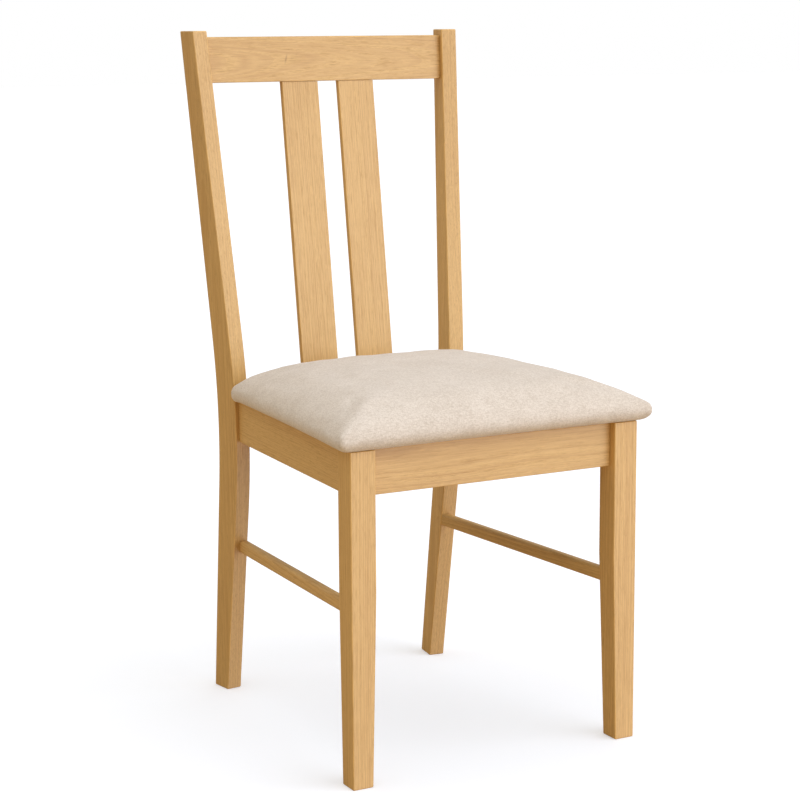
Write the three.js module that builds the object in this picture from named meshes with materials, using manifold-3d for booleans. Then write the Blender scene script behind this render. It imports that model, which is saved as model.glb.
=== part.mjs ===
// Dining chair: oak frame with two back splats and side stretchers, and an upholstered seat.
// Millimetres, +Z up. The front faces -Y, and "left" is the -X side.
// Left-hand pieces are worked out in the chair's own frame and mirrored for the right.
import * as THREE from 'three';
import { mergeVertices } from 'three/addons/utils/BufferGeometryUtils.js';
import Module from 'manifold-3d';

const wasm = await Module();
wasm.setup();

// Whole chair
const CHAIR_HEIGHT = 950;
const FRAME_TOP = 438; // top of the seat rails and of the front legs

// Front legs: outer and front faces are upright, inner and rear faces taper to the foot
const LEG_SPAN = 428.8; // over the outer faces
const LEG_WIDTH = 35.6;
const LEG_DEPTH = 35.3;
const LEG_FOOT_WIDTH = 29.1;
const LEG_FOOT_DEPTH = 30.1;
const LEG_TAPER_TOP = 255;

// Rear posts: flat boards bent at seat height, turned to face inwards and canted outwards
const POST_SPAN = 363.4; // over the outer front corners at the floor
const POST_SETBACK = 463.6; // front of the front legs to the outer front corners at the floor
const POST_THICKNESS = 23.1;
const POST_TURN = THREE.MathUtils.degToRad(8.4);
const POST_CANT = 0.0285; // sideways run for each millimetre of height
const POST_FOOT_DEPTH = 34.2;
const POST_FRONT_EDGE = { foot: 0, below: -0.157, above: 0.137, bend: 400, radius: 850 };
const POST_REAR_EDGE = { foot: POST_FOOT_DEPTH, below: -0.115, above: 0.112, bend: 414, radius: 935 };

// Seat rails
const RAIL_HEIGHT = 60;
const RAIL_THICKNESS = 18;
const SIDE_RAIL_THICKNESS = 17;
const FRONT_RAIL_RECESS = 11.3; // behind the front faces of the legs
const SIDE_RAIL_FRONT_RECESS = 9; // inside the outer faces of the legs
const SIDE_RAIL_REAR_RECESS = 6; // inside the outer front corners of the posts
const REAR_RAIL_RECESS = 0.6; // behind the inner front corners of the posts

// Back
const TOP_RAIL_HEIGHT = 63.1;
const TOP_RAIL_THICKNESS = 18;
const TOP_RAIL_DROP = 8.5; // below the tops of the posts
const TOP_RAIL_RECESS = 8; // behind the inner front corners of the posts
const SPLAT_WIDTH = 56.8;
const SPLAT_THICKNESS = 8.8;
const SPLAT_SPACING = 32.6; // between the two splats
const SPLAT_RECESS = 1.5; // behind the faces of both rails that hold them
const SPLAT_TENON_LENGTH = 12;
const SPLAT_TENON_WIDTH = 44;
const SPLAT_TENON_THICKNESS = 5;

// Side stretchers
const STRETCHER_WIDTH = 13;
const STRETCHER_HEIGHT = 18.7;
const STRETCHER_RADIUS = 4.4;
const STRETCHER_FRONT_Z = 223.3;
const STRETCHER_REAR_Z = 221.1;
const STRETCHER_FRONT_INSET = 25.4; // leg's outer face to the stretcher's centre line
const STRETCHER_REAR_INSET = 15.6; // post's outer front corner to the stretcher's centre line
const STRETCHER_TENON_RADIUS = 5;
const STRETCHER_TENON_LENGTH = 14;

// Seat
const SEAT_HEIGHT = 507; // top of the crown
const SEAT_EDGE_HEIGHT = 453; // where the pad is widest
const SEAT_FRONT_INSET = 2.5; // underside, inside the outer faces of the front legs
const SEAT_REAR_INSET = 10.5; // underside, inside the outer front corners of the posts
const SEAT_POST_CLEARANCE = 1.3; // rear edge to the posts
const SEAT_FRONT_SETBACK = 12; // underside, behind the front faces of the front legs
const SEAT_FRONT_BOW = 2; // the middle of the front edge stands this far ahead of its corners
const SEAT_CORNER = 6;
const SEAT_BULGE = 22.4; // the edge stands out this far from the underside
const SEAT_ROLL_SHARE = 0.65; // share of the rise made by the roll, the rest is made by the crown
const SEAT_ROLL_POWER = 3;
const SEAT_CROWN_POWER = 0.33;
const SEAT_RIM_STEP = 48; // spacing of the points round the edge
const SEAT_UNDER_STEPS = 4;
const SEAT_TOP_STEPS = 9;
const SEAT_TOP_CROWDING = 2; // draws the steps on top towards the edge
const COVER_THICKNESS = 1.8;
const COVER_TURN_UNDER = 28;
const BOARD_THICKNESS = 12;
const FOAM_SKIRT = 7; // foam laps this far down the edge of the board
const DUST_CLOTH_THICKNESS = 0.8;
const DUST_CLOTH_INSET = 10;

// Corner blocks
const BLOCK_REACH = 62; // along each rail
const BLOCK_END = 14; // width of the blunt ends
const BLOCK_HEIGHT = 22;
const BLOCK_DROP = 4; // below the tops of the rails
const BLOCK_SEAT_ACROSS = 20; // side rail's face to the seat screw
const BLOCK_SEAT_ALONG = 38; // cross rail's face to the seat screw
const BLOCK_SCREW_ALONG = 52; // corner to the block screw, along its rail
const BLOCK_SCREW_HEAD = 20; // rail's face to the top of the screw's head

// Fasteners
const DOWEL_RADIUS = 4;
const DOWEL_LENGTH = 32;
const OUTER_DOWEL_RISE = 20; // front and rear rails: above and below the rail's middle
const INNER_DOWEL_RISE = 8; // side rails: staggered between the others
const TOP_DOWEL_RISE = 15;
const SCREW_RADIUS = 2;
const SCREW_HEAD_RADIUS = 4;
const SCREW_HEAD_HEIGHT = 2.4;
const SCREW_TIP = 5;
const SCREW_BITE = 12; // depth in a rail
const SEAT_SCREW_BITE = 8; // depth in the seat board

// Fits
const GAP = 0.3; // between pieces that touch
const HOLE_END = 1; // spare depth at the end of a hole
const WELD = 1e-4;
const ROUND_SIDES = 12;
const BEND_STEPS = 12;
const ARRIS_STEPS = 4; // of a stretcher's rounded edge
const CURVE_STEPS = 6; // of a rounded corner in a plan

// Derived sizes
const LEG_OUTER = LEG_SPAN / 2;
const LEG_INNER = LEG_OUTER - LEG_WIDTH;
const RAIL_MIDDLE = FRAME_TOP - RAIL_HEIGHT / 2;
const TOP_RAIL_TOP = CHAIR_HEIGHT - TOP_RAIL_DROP;
const TOP_RAIL_BOTTOM = TOP_RAIL_TOP - TOP_RAIL_HEIGHT;
const DUST_CLOTH_BOTTOM = FRAME_TOP + GAP;
const COVER_BOTTOM = DUST_CLOTH_BOTTOM + DUST_CLOTH_THICKNESS + GAP;
const BOARD_BOTTOM = COVER_BOTTOM + COVER_THICKNESS + GAP;
const BOARD_TOP = BOARD_BOTTOM + BOARD_THICKNESS;
const BLOCK_TOP = FRAME_TOP - BLOCK_DROP;
const BLOCK_BOTTOM = BLOCK_TOP - BLOCK_HEIGHT;

// ---------- helpers ----------

function toSolid(geometry) {
  const plain = geometry.clone();
  plain.deleteAttribute('normal');
  plain.deleteAttribute('uv');
  const merged = mergeVertices(plain, WELD);
  return new wasm.Manifold(new wasm.Mesh({
    numProp: 3,
    vertProperties: new Float32Array(merged.attributes.position.array),
    triVerts: new Uint32Array(merged.index.array),
  }));
}

function toGeometry(solid) {
  const mesh = solid.getMesh();
  const geometry = new THREE.BufferGeometry();
  geometry.setAttribute('position', new THREE.BufferAttribute(mesh.vertProperties, 3));
  geometry.setIndex(new THREE.BufferAttribute(mesh.triVerts, 1));
  return geometry;
}

// The first geometry with all the others cut away from it
function cut(geometry, ...tools) {
  const subtract = (solid, tool) => solid.subtract(toSolid(tool));
  return toGeometry(tools.flat().reduce(subtract, toSolid(geometry)));
}

// All the geometries joined to one body
function join(geometry, ...others) {
  return toGeometry(others.reduce((solid, other) => solid.add(toSolid(other)), toSolid(geometry)));
}

function mirrored(geometry) {
  const copy = geometry.clone().scale(-1, 1, 1);
  const index = copy.index.array;
  for (let i = 0; i < index.length; i += 3) {
    [index[i + 1], index[i + 2]] = [index[i + 2], index[i + 1]];
  }
  return copy;
}

function moved(geometry, x, y, z) {
  return geometry.clone().translate(x, y, z);
}

function mirroredVector(v) {
  return new THREE.Vector3(-v.x, v.y, v.z);
}

function mirroredPlace(place) {
  return { at: mirroredVector(place.at), along: mirroredVector(place.along) };
}

function box(low, high) {
  const size = new THREE.Vector3().subVectors(high, low);
  const middle = new THREE.Vector3().addVectors(low, high).multiplyScalar(0.5);
  return new THREE.BoxGeometry(size.x, size.y, size.z).translate(middle.x, middle.y, middle.z);
}

function prism(shape, bottom, top) {
  const settings = { depth: top - bottom, bevelEnabled: false, curveSegments: CURVE_STEPS };
  return new THREE.ExtrudeGeometry(shape, settings).translate(0, 0, bottom);
}

// Turns a geometry's own axis to point along a direction, then moves it to a place
function aim(geometry, axis, along, at) {
  const turn = new THREE.Quaternion().setFromUnitVectors(axis, along);
  return geometry.clone().applyQuaternion(turn).translate(at.x, at.y, at.z);
}

// Leans a geometry back by a slope, about a level line at the given height
function leaned(geometry, slope, height) {
  const shear = new THREE.Matrix4().makeShear(0, 0, 0, 0, 0, slope);
  return geometry.clone().applyMatrix4(shear).translate(0, -slope * height, 0);
}

const X_AXIS = new THREE.Vector3(1, 0, 0);
const Y_AXIS = new THREE.Vector3(0, 1, 0);
const Z_AXIS = new THREE.Vector3(0, 0, 1);

function rod(radius, length, place) {
  const cylinder = new THREE.CylinderGeometry(radius, radius, length, ROUND_SIDES);
  return aim(cylinder, Y_AXIS, place.along, place.at);
}

function dowelHole(place) {
  return rod(DOWEL_RADIUS + GAP, DOWEL_LENGTH + 2 * HOLE_END, place);
}

// ---------- front legs ----------

// A unit box in two storeys, each corner moved to its place on the leg
function frontLegBlank() {
  const geometry = new THREE.BoxGeometry(1, 1, 2, 1, 1, 2);
  const points = geometry.attributes.position;
  for (let i = 0; i < points.count; i += 1) {
    const level = Math.round(points.getZ(i));
    const width = level < 0 ? LEG_FOOT_WIDTH : LEG_WIDTH;
    const depth = level < 0 ? LEG_FOOT_DEPTH : LEG_DEPTH;
    const height = [0, LEG_TAPER_TOP, FRAME_TOP][level + 1];
    const inner = points.getX(i) > 0;
    const rear = points.getY(i) > 0;
    points.setXYZ(i, inner ? width - LEG_OUTER : -LEG_OUTER, rear ? depth : 0, height);
  }
  return geometry;
}

// ---------- rear posts ----------

// A long edge of the post: two straight runs joined by a tangent arc round a centre behind it
function bentEdge({ foot, below, above, bend, radius }) {
  const angleBelow = Math.atan(below);
  const angleAbove = Math.atan(above);
  const tangent = radius * Math.tan((angleAbove - angleBelow) / 2);
  const corner = new THREE.Vector2(foot + below * bend, bend);
  const arcStart = corner.clone().sub(new THREE.Vector2(Math.sin(angleBelow), Math.cos(angleBelow))
    .multiplyScalar(tangent));
  const centre = arcStart.clone().add(new THREE.Vector2(Math.cos(angleBelow), -Math.sin(angleBelow))
    .multiplyScalar(radius));
  const arc = [];
  for (let step = 0; step <= BEND_STEPS; step += 1) {
    const angle = THREE.MathUtils.lerp(angleBelow, angleAbove, step / BEND_STEPS);
    arc.push(new THREE.Vector2(centre.x - radius * Math.cos(angle), centre.y + radius * Math.sin(angle)));
  }
  const start = new THREE.Vector2(foot, 0);
  const end = new THREE.Vector2(corner.x + above * (CHAIR_HEIGHT - bend), CHAIR_HEIGHT);
  return [start, ...arc, end];
}

// Depth of a long edge at a height
function edgeAt(points, height) {
  const next = points.findIndex((point) => point.y >= height);
  const [a, b] = [points[Math.max(next - 1, 0)], points[Math.max(next, 1)]];
  return THREE.MathUtils.lerp(a.x, b.x, (height - a.y) / (b.y - a.y));
}

const postFront = bentEdge(POST_FRONT_EDGE);
const postRear = bentEdge(POST_REAR_EDGE);

// From the post's own frame (across, depth, height from its outer front corner) to the chair's
function postFrame() {
  const shear = new THREE.Matrix4().makeShear(0, 0, 0, 0, -POST_CANT, 0);
  const turn = new THREE.Matrix4().makeRotationZ(POST_TURN).setPosition(-POST_SPAN / 2, POST_SETBACK, 0);
  return turn.multiply(shear);
}

function postPoint(across, depth, height) {
  return new THREE.Vector3(across, depth, height).applyMatrix4(postFrame());
}

// Corners of the left post at a height
function postOuterFront(height) {
  return postPoint(0, edgeAt(postFront, height), height);
}

function postInnerFront(height) {
  return postPoint(POST_THICKNESS, edgeAt(postFront, height), height);
}

function postInnerRear(height) {
  return postPoint(POST_THICKNESS, edgeAt(postRear, height), height);
}

// The post, made wider than it is by a margin on both sides when it serves to trim a neighbour
function rearPostBlank(margin) {
  const outline = new THREE.Shape([...postFront, ...[...postRear].reverse()]);
  const depth = POST_THICKNESS + 2 * margin;
  const geometry = new THREE.ExtrudeGeometry(outline, { depth, bevelEnabled: false });
  geometry.translate(0, 0, -margin);
  geometry.applyMatrix4(new THREE.Matrix4().makeBasis(Y_AXIS, Z_AXIS, X_AXIS));
  return geometry.applyMatrix4(postFrame());
}

// Everything outside the left post's inner face, with a gap to it
function beyondPost() {
  const reach = POST_SPAN / 2;
  const low = new THREE.Vector3(-reach, -reach, -GAP);
  const high = new THREE.Vector3(POST_THICKNESS + GAP, reach, CHAIR_HEIGHT + GAP);
  return box(low, high).applyMatrix4(postFrame());
}

// X of the left post's inner face where it passes a given depth and height
function postInnerX(y, height) {
  const front = postInnerFront(height);
  const rear = postInnerRear(height);
  return THREE.MathUtils.mapLinear(y, front.y, rear.y, front.x, rear.x);
}

const frontLeg = frontLegBlank();
const rearPost = rearPostBlank(0);
const widePost = rearPostBlank(POST_THICKNESS);

// ---------- members that run front to back at the side ----------

// Centre line from the leg's rear face to the post's front face
function sideLine(legInset, postInset, frontHeight, rearHeight) {
  const outer = postOuterFront(rearHeight);
  const inner = postInnerFront(rearHeight);
  const share = postInset / (inner.x - outer.x);
  const front = new THREE.Vector3(legInset - LEG_OUTER, LEG_DEPTH, frontHeight);
  const rear = new THREE.Vector3().lerpVectors(outer, inner, share).setZ(rearHeight);
  return { front, rear, along: new THREE.Vector3().subVectors(rear, front).normalize() };
}

const sideRailHalf = SIDE_RAIL_THICKNESS / 2;
const sideRailLine = sideLine(
  SIDE_RAIL_FRONT_RECESS + sideRailHalf,
  SIDE_RAIL_REAR_RECESS + sideRailHalf,
  RAIL_MIDDLE,
  RAIL_MIDDLE,
);
const stretcherLine = sideLine(
  STRETCHER_FRONT_INSET,
  STRETCHER_REAR_INSET,
  STRETCHER_FRONT_Z,
  STRETCHER_REAR_Z,
);

// A bar along a side line that reaches a little into the leg and the post, then is trimmed to them
function trimmedBar(section, line) {
  const reach = LEG_FOOT_DEPTH / 2;
  const length = line.front.distanceTo(line.rear) + 2 * reach;
  const settings = { depth: length, bevelEnabled: false, curveSegments: ARRIS_STEPS };
  const blank = new THREE.ExtrudeGeometry(section, settings);
  const start = line.front.clone().addScaledVector(line.along, -reach);
  const levelled = new THREE.Matrix4().makeBasis(mirroredVector(X_AXIS), Z_AXIS, Y_AXIS);
  const upright = blank.applyMatrix4(levelled);
  const bar = aim(upright, Y_AXIS, line.along, start);
  return cut(bar, moved(frontLeg, 0, GAP, 0), moved(widePost, 0, -GAP, 0));
}

function rectangle(width, height) {
  return new THREE.Shape([
    new THREE.Vector2(-width / 2, -height / 2),
    new THREE.Vector2(width / 2, -height / 2),
    new THREE.Vector2(width / 2, height / 2),
    new THREE.Vector2(-width / 2, height / 2),
  ]);
}

function roundedRectangle(width, height, radius) {
  const shape = new THREE.Shape();
  const [x, y] = [width / 2 - radius, height / 2 - radius];
  shape.absarc(x, y, radius, 0, Math.PI / 2);
  shape.absarc(-x, y, radius, Math.PI / 2, Math.PI);
  shape.absarc(-x, -y, radius, Math.PI, Math.PI * 1.5);
  shape.absarc(x, -y, radius, Math.PI * 1.5, Math.PI * 2);
  return shape;
}

// Where a stretcher's round tenon stands, at its front and rear shoulders
const stretcherTenons = [
  { at: stretcherLine.front, along: stretcherLine.along.clone().negate() },
  { at: stretcherLine.rear, along: stretcherLine.along },
];

function stretcherTenon(place, extraRadius, extraLength) {
  const length = 2 * (STRETCHER_TENON_LENGTH + extraLength);
  return rod(STRETCHER_TENON_RADIUS + extraRadius, length, place);
}

function stretcher() {
  const section = roundedRectangle(STRETCHER_WIDTH, STRETCHER_HEIGHT, STRETCHER_RADIUS);
  const tenons = stretcherTenons.map((place) => stretcherTenon(place, 0, 0));
  return join(trimmedBar(section, stretcherLine), ...tenons);
}

// ---------- dowels ----------

function risen(at, rise) {
  return new THREE.Vector3(at.x, at.y, at.z + rise);
}

// A pair of dowels above and below a joint's middle
function dowelPair(at, along, rise) {
  return [rise, -rise].map((offset) => ({ at: risen(at, offset), along }));
}

// Side rail's dowels at the rear stay on the face of the bent post
function rearSideDowels() {
  const middle = edgeAt(postFront, RAIL_MIDDLE);
  return dowelPair(sideRailLine.rear, sideRailLine.along, INNER_DOWEL_RISE).map((place) => {
    const shift = edgeAt(postFront, place.at.z) - middle;
    return { at: place.at.clone().addScaledVector(place.along, shift), along: place.along };
  });
}

// Depth of the back: rails and splats are placed from the posts' inner front corners
const rearRailFront = postInnerFront(RAIL_MIDDLE).y + REAR_RAIL_RECESS;
const topRailFront = postInnerFront(TOP_RAIL_BOTTOM).y + TOP_RAIL_RECESS;
const topRailMiddle = (TOP_RAIL_TOP + TOP_RAIL_BOTTOM) / 2;
const backLean = POST_FRONT_EDGE.above * Math.cos(POST_TURN);

function topDowels() {
  return [TOP_DOWEL_RISE, -TOP_DOWEL_RISE].map((rise) => {
    const z = topRailMiddle + rise;
    const y = topRailFront + TOP_RAIL_THICKNESS / 2 + backLean * (z - TOP_RAIL_BOTTOM);
    return { at: new THREE.Vector3(postInnerX(y, z), y, z), along: X_AXIS };
  });
}

function rearRailDowels() {
  const y = rearRailFront + RAIL_THICKNESS / 2;
  return [OUTER_DOWEL_RISE, -OUTER_DOWEL_RISE].map((rise) => {
    const z = RAIL_MIDDLE + rise;
    return { at: new THREE.Vector3(postInnerX(y, z), y, z), along: X_AXIS };
  });
}

const frontJoint = new THREE.Vector3(-LEG_INNER, FRONT_RAIL_RECESS + RAIL_THICKNESS / 2, RAIL_MIDDLE);
const dowels = {
  front_rail: dowelPair(frontJoint, X_AXIS, OUTER_DOWEL_RISE),
  side_rail_front: dowelPair(sideRailLine.front, sideRailLine.along, INNER_DOWEL_RISE),
  side_rail_rear: rearSideDowels(),
  rear_rail: rearRailDowels(),
  top_rail: topDowels(),
};

function holes(...names) {
  return names.flatMap((name) => dowels[name].map(dowelHole));
}

function holesBothEnds(name) {
  return [...dowels[name], ...dowels[name].map(mirroredPlace)].map(dowelHole);
}

// ---------- corner blocks and their screws ----------

// Point on the side rail's inner face at a depth
function sideRailInner(y) {
  const { front, along } = sideRailLine;
  const across = sideRailHalf / along.y;
  return new THREE.Vector2(front.x + across + (along.x / along.y) * (y - front.y), y);
}

// A corner block's corner and the two plan directions that leave it along the rails
function blockCorner(end) {
  const along = new THREE.Vector2(sideRailLine.along.x, sideRailLine.along.y);
  if (end === 'front') {
    const corner = sideRailInner(FRONT_RAIL_RECESS + RAIL_THICKNESS);
    return { corner, side: along, cross: new THREE.Vector2(1, 0) };
  }
  return { corner: sideRailInner(rearRailFront), side: along.negate(), cross: new THREE.Vector2(1, 0) };
}

// A plan point this far along the cross rail and along the side rail
function blockPoint({ corner, side, cross }, acrossRun, sideRun) {
  return corner.clone().addScaledVector(cross, acrossRun).addScaledVector(side, sideRun);
}

function blockScrews(end) {
  const place = blockCorner(end);
  const height = (BLOCK_TOP + BLOCK_BOTTOM) / 2;
  const towardSide = new THREE.Vector3(-Math.abs(place.side.y), Math.sign(place.side.y) * place.side.x, 0);
  const towardCross = new THREE.Vector3(0, -Math.sign(place.side.y), 0);
  const onSide = blockPoint(place, 0, BLOCK_SCREW_ALONG);
  const onCross = blockPoint(place, BLOCK_SCREW_ALONG, 0);
  return [
    { at: new THREE.Vector3(onSide.x, onSide.y, height), along: towardSide },
    { at: new THREE.Vector3(onCross.x, onCross.y, height), along: towardCross },
  ];
}

// Head's top to the rail's face, then into the rail
function blockScrewHole(place) {
  const shank = rod(SCREW_RADIUS + GAP, 2 * (SCREW_BITE + HOLE_END), place);
  const clear = rod(SCREW_RADIUS + GAP, 2 * BLOCK_SCREW_HEAD, place);
  const boreMiddle = SCREW_HEAD_HEIGHT - BLOCK_SCREW_HEAD - BLOCK_REACH;
  const mouth = place.at.clone().addScaledVector(place.along, boreMiddle);
  const bore = rod(SCREW_HEAD_RADIUS + GAP, 2 * BLOCK_REACH + GAP, { at: mouth, along: place.along });
  return { shank, clear, bore };
}

function seatScrewPlace(end) {
  const plan = blockPoint(blockCorner(end), BLOCK_SEAT_ACROSS, BLOCK_SEAT_ALONG);
  return new THREE.Vector3(plan.x, plan.y, BLOCK_BOTTOM);
}

function seatScrewHole(end, radius, bottom, top) {
  const { x, y } = seatScrewPlace(end);
  const length = top - bottom;
  return rod(radius, length, { at: new THREE.Vector3(x, y, bottom + length / 2), along: Z_AXIS });
}

function cornerBlock(end) {
  const place = blockCorner(end);
  const plan = [
    blockPoint(place, GAP, GAP),
    blockPoint(place, BLOCK_REACH, GAP),
    blockPoint(place, BLOCK_REACH, BLOCK_END),
    blockPoint(place, BLOCK_END, BLOCK_REACH),
    blockPoint(place, GAP, BLOCK_REACH),
  ];
  const bores = blockScrews(end).flatMap((screw) => {
    const { clear, bore } = blockScrewHole(screw);
    return [clear, bore];
  });
  const seatBore = seatScrewHole(end, SCREW_RADIUS + GAP, BLOCK_BOTTOM - GAP, BLOCK_TOP + GAP);
  const headTop = BLOCK_BOTTOM + SCREW_HEAD_HEIGHT + GAP;
  const headBore = seatScrewHole(end, SCREW_HEAD_RADIUS + GAP, BLOCK_BOTTOM - GAP, headTop);
  const legs = [moved(frontLeg, GAP, GAP, 0), moved(rearPost, GAP, -GAP, 0)];
  return cut(prism(new THREE.Shape(plan), BLOCK_BOTTOM, BLOCK_TOP), ...bores, seatBore, headBore, ...legs);
}

// A countersunk wood screw that points along +Y from the top of its head at the origin
function screwGeometry(length) {
  const profile = [
    new THREE.Vector2(0, length),
    new THREE.Vector2(SCREW_RADIUS, length - SCREW_TIP),
    new THREE.Vector2(SCREW_RADIUS, SCREW_HEAD_HEIGHT),
    new THREE.Vector2(SCREW_HEAD_RADIUS, 0),
    new THREE.Vector2(0, 0),
  ];
  return new THREE.LatheGeometry(profile.reverse(), ROUND_SIDES);
}

// ---------- rails and splats ----------

function frontRail() {
  const rail = box(
    new THREE.Vector3(GAP - LEG_INNER, FRONT_RAIL_RECESS, FRAME_TOP - RAIL_HEIGHT),
    new THREE.Vector3(LEG_INNER - GAP, FRONT_RAIL_RECESS + RAIL_THICKNESS, FRAME_TOP),
  );
  return cut(rail, holesBothEnds('front_rail'), crossRailScrewHoles('front'));
}

function crossRailScrewHoles(end) {
  const left = blockScrews(end)[1];
  return [left, mirroredPlace(left)].map((place) => blockScrewHole(place).shank);
}

function sideRail() {
  const rail = trimmedBar(rectangle(SIDE_RAIL_THICKNESS, RAIL_HEIGHT), sideRailLine);
  const screws = ['front', 'rear'].map((end) => blockScrewHole(blockScrews(end)[0]).shank);
  return cut(rail, holes('side_rail_front', 'side_rail_rear'), screws);
}

const sideRailLeft = sideRail();

// A rail from post to post, trimmed to both posts' inner faces
function backRail(front, thickness, bottom, top, slope) {
  const halfLength = POST_SPAN / 2 + POST_CANT * top;
  const rail = box(
    new THREE.Vector3(-halfLength, front, bottom),
    new THREE.Vector3(halfLength, front + thickness, top),
  );
  const waste = beyondPost();
  return cut(leaned(rail, slope, bottom), waste, mirrored(waste));
}

// The splats lean so that their recess is the same at the rear rail and at the top rail
const splatLean = (topRailFront - rearRailFront) / (TOP_RAIL_BOTTOM - FRAME_TOP);

function splatBox(width, thickness, bottom, top) {
  const middle = -(SPLAT_SPACING + SPLAT_WIDTH) / 2;
  const depth = rearRailFront + SPLAT_RECESS + SPLAT_THICKNESS / 2;
  const upright = box(
    new THREE.Vector3(middle - width / 2, depth - thickness / 2, bottom),
    new THREE.Vector3(middle + width / 2, depth + thickness / 2, top),
  );
  return leaned(upright, splatLean, FRAME_TOP);
}

function splat() {
  const blade = splatBox(SPLAT_WIDTH, SPLAT_THICKNESS, FRAME_TOP + GAP, TOP_RAIL_BOTTOM - GAP);
  const bottom = FRAME_TOP - SPLAT_TENON_LENGTH;
  const top = TOP_RAIL_BOTTOM + SPLAT_TENON_LENGTH;
  return join(blade, splatBox(SPLAT_TENON_WIDTH, SPLAT_TENON_THICKNESS, bottom, top));
}

// Both splats' mortises, cut from the rear rail and from the top rail alike
function splatMortises() {
  const bottom = FRAME_TOP - SPLAT_TENON_LENGTH - HOLE_END;
  const top = TOP_RAIL_BOTTOM + SPLAT_TENON_LENGTH + HOLE_END;
  const mortise = splatBox(SPLAT_TENON_WIDTH + 2 * GAP, SPLAT_TENON_THICKNESS + 2 * GAP, bottom, top);
  return [mortise, mirrored(mortise)];
}

// The rear rail makes way for the side rails and their dowels where they reach past the posts
function rearRail() {
  const rail = backRail(rearRailFront, RAIL_THICKNESS, FRAME_TOP - RAIL_HEIGHT, FRAME_TOP, 0);
  const neighbour = moved(sideRailLeft, GAP, GAP, 0);
  const room = [neighbour, mirrored(neighbour), ...holesBothEnds('side_rail_rear')];
  return cut(rail, holesBothEnds('rear_rail'), crossRailScrewHoles('rear'), splatMortises(), room);
}

function topRail() {
  const rail = backRail(topRailFront, TOP_RAIL_THICKNESS, TOP_RAIL_BOTTOM, TOP_RAIL_TOP, backLean);
  return cut(rail, holesBothEnds('top_rail'), splatMortises());
}

// ---------- seat ----------

// Plan of the seat's underside, drawn in by an inset
function seatPlan(inset) {
  const post = postOuterFront(FRAME_TOP);
  const seatBack = post.y - SEAT_POST_CLEARANCE - SEAT_BULGE;
  const frontHalf = LEG_OUTER - SEAT_FRONT_INSET;
  const rearHalf = -post.x - SEAT_REAR_INSET;
  const sideAt = (y) => THREE.MathUtils.mapLinear(y, 0, seatBack, frontHalf, rearHalf) - inset;
  return { sideAt, front: SEAT_FRONT_SETBACK + inset, back: seatBack - inset };
}

// Its outline: slightly bowed front, straight sides, rounded corners
function seatOutline(inset) {
  const { sideAt, front, back } = seatPlan(inset);
  const corner = SEAT_CORNER;
  const shape = new THREE.Shape();
  shape.moveTo(sideAt(front) - corner, front);
  shape.quadraticCurveTo(sideAt(front), front, sideAt(front + corner), front + corner);
  shape.lineTo(sideAt(back - corner), back - corner);
  shape.quadraticCurveTo(sideAt(back), back, sideAt(back) - corner, back);
  shape.lineTo(corner - sideAt(back), back);
  shape.quadraticCurveTo(-sideAt(back), back, -sideAt(back - corner), back - corner);
  shape.lineTo(-sideAt(front + corner), front + corner);
  shape.quadraticCurveTo(-sideAt(front), front, corner - sideAt(front), front);
  shape.quadraticCurveTo(0, front - 2 * SEAT_FRONT_BOW, sideAt(front) - corner, front);
  return shape;
}

// The pad's widest outline as points, with their places from -1 to 1 across and along it
function seatRim(inset) {
  const { sideAt, front, back } = seatPlan(inset - SEAT_BULGE);
  const middle = (front + back) / 2;
  const steps = (curve) => Math.max(2, Math.round(curve.getLength() / SEAT_RIM_STEP));
  const curves = seatOutline(inset - SEAT_BULGE).curves;
  const points = curves.flatMap((curve) => curve.getPoints(steps(curve)).slice(1));
  const across = (point) => Math.min(1, Math.abs(point.x) / sideAt(point.y));
  const along = (point) => Math.min(1, (Math.abs(point.y - middle) * 2) / (back - front));
  return points.map(({ x, y }) => ({ x, y, middle, across: across({ x, y }), along: along({ x, y }) }));
}

// Height over the widest outline at a share of the way out from the middle, from 0 to 1 at the top
function crownAt({ across, along }, share) {
  const roll = Math.sqrt(1 - share ** SEAT_ROLL_POWER);
  const spread = (1 - (across * share) ** 2) * (1 - (along * share) ** 2);
  return SEAT_ROLL_SHARE * roll + (1 - SEAT_ROLL_SHARE) * spread ** SEAT_CROWN_POWER;
}

// The pad's full form, crowned on top and rolled under at its edge, drawn in by an inset
function seatForm(inset) {
  const rim = seatRim(inset);
  const drop = SEAT_EDGE_HEIGHT - COVER_BOTTOM - inset;
  const rise = SEAT_HEIGHT - SEAT_EDGE_HEIGHT - inset;
  const rings = [];
  for (let step = SEAT_UNDER_STEPS; step > 0; step -= 1) {
    const turn = ((Math.PI / 2) * step) / SEAT_UNDER_STEPS;
    const inward = SEAT_BULGE * (1 - Math.cos(turn));
    const share = (point) => 1 - inward / Math.hypot(point.x, point.y - point.middle);
    rings.push({ share, height: () => SEAT_EDGE_HEIGHT - drop * Math.sin(turn) });
  }
  for (let step = 0; step < SEAT_TOP_STEPS; step += 1) {
    const out = 1 - (step / SEAT_TOP_STEPS) ** SEAT_TOP_CROWDING;
    rings.push({ share: () => out, height: (point) => SEAT_EDGE_HEIGHT + rise * crownAt(point, out) });
  }
  const positions = rings.flatMap(({ share, height }) =>
    rim.flatMap((point) => {
      const y = point.middle + (point.y - point.middle) * share(point);
      return [point.x * share(point), y, height(point)];
    }),
  );
  const { middle } = rim[0];
  positions.push(0, middle, COVER_BOTTOM + inset, 0, middle, SEAT_EDGE_HEIGHT + rise);
  return loft(positions, rim.length, rings.length);
}

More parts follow.
